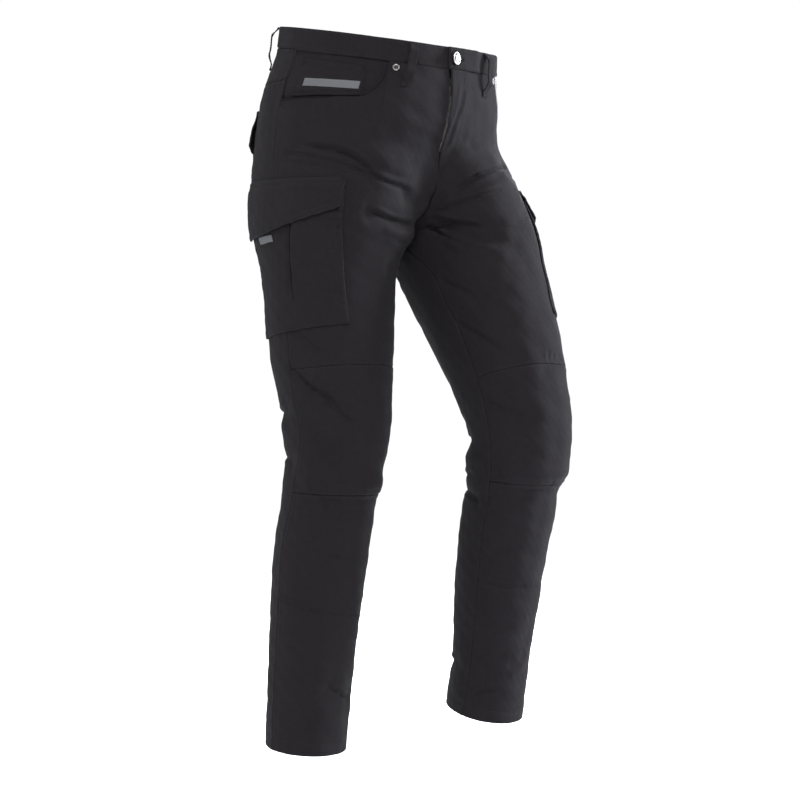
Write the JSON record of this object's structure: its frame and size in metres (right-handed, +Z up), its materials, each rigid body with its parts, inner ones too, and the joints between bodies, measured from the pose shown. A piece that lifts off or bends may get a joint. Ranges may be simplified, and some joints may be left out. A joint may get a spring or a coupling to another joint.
{
  "type": "motorcycle trousers",
  "caption": "Charcoal motorcycle trousers in a short stride, empty, with cargo pockets on the thighs, shaped knees, a buttoned waistband and a zip fly.",
  "frame": {"origin": "middle of the waist opening, halfway down the waistband, where the wearer holds the trousers up", "axes": "+Z up, front of the trousers towards -Y, the wearer's left towards +X"},
  "size_m": [0.3958, 0.4088, 1.0301],
  "materials": {
    "back_flap_left": "charcoal stretch twill, matt",
    "back_flap_right": "charcoal stretch twill, matt",
    "back_left": "charcoal stretch twill, matt",
    "back_pocket_left": "charcoal stretch twill, matt",
    "back_pocket_right": "charcoal stretch twill, matt",
    "back_right": "charcoal stretch twill, matt",
    "belt_loop_back": "charcoal stretch twill, matt",
    "belt_loop_front_left": "charcoal stretch twill, matt",
    "belt_loop_front_right": "charcoal stretch twill, matt",
    "belt_loop_side_left": "charcoal stretch twill, matt",
    "belt_loop_side_right": "charcoal stretch twill, matt",
    "cargo_flap_left": "charcoal stretch twill, matt",
    "cargo_flap_right": "charcoal stretch twill, matt",
    "cargo_pocket_left": "charcoal stretch twill, matt",
    "cargo_pocket_right": "charcoal stretch twill, matt",
    "cargo_tag_right": "grey woven strip, bare",
    "coin_pocket": "charcoal stretch twill, matt",
    "coin_strip": "grey woven strip, bare",
    "fly_facing": "charcoal stretch twill, matt",
    "fly_shield": "charcoal stretch twill, matt",
    "front_thigh_left": "charcoal stretch twill, matt",
    "front_thigh_right": "charcoal stretch twill, matt",
    "knee_left": "charcoal stretch twill, matt",
    "knee_right": "charcoal stretch twill, matt",
    "pocket_facing_left": "charcoal stretch twill, matt",
    "pocket_facing_right": "charcoal stretch twill, matt",
    "rivet_left": "dark nickel, satin",
    "rivet_right": "dark nickel, satin",
    "shin_left": "charcoal stretch twill, matt",
    "shin_right": "charcoal stretch twill, matt",
    "waist_button": "dark nickel, satin",
    "waistband": "charcoal stretch twill, matt",
    "yoke_left": "charcoal stretch twill, matt",
    "yoke_right": "charcoal stretch twill, matt",
    "zip_slider": "dark nickel, satin",
    "zip_tape": "black zip tape with a dark metal chain"
  },
  "bodies": {
    "root": {"back_flap_left": "back_flap_left", "back_flap_right": "back_flap_right", "back_left": "back_left", "back_pocket_left": "back_pocket_left", "back_pocket_right": "back_pocket_right", "back_right": "back_right", "belt_loop_back": "belt_loop_back", "belt_loop_front_left": "belt_loop_front_left", "belt_loop_front_right": "belt_loop_front_right", "belt_loop_side_left": "belt_loop_side_left", "belt_loop_side_right": "belt_loop_side_right", "cargo_flap_left": "cargo_flap_left", "cargo_flap_right": "cargo_flap_right", "cargo_pocket_left": "cargo_pocket_left", "cargo_pocket_right": "cargo_pocket_right", "cargo_tag_right": "cargo_tag_right", "coin_pocket": "coin_pocket", "coin_strip": "coin_strip", "fly_facing": "fly_facing", "fly_shield": "fly_shield", "front_thigh_left": "front_thigh_left", "front_thigh_right": "front_thigh_right", "knee_left": "knee_left", "knee_right": "knee_right", "pocket_facing_left": "pocket_facing_left", "pocket_facing_right": "pocket_facing_right", "rivet_left": "rivet_left", "rivet_right": "rivet_right", "shin_left": "shin_left", "shin_right": "shin_right", "waist_button": "waist_button", "waistband": "waistband", "yoke_left": "yoke_left", "yoke_right": "yoke_right", "zip_slider": "zip_slider", "zip_tape": "zip_tape"}
  },
  "joints": []
}
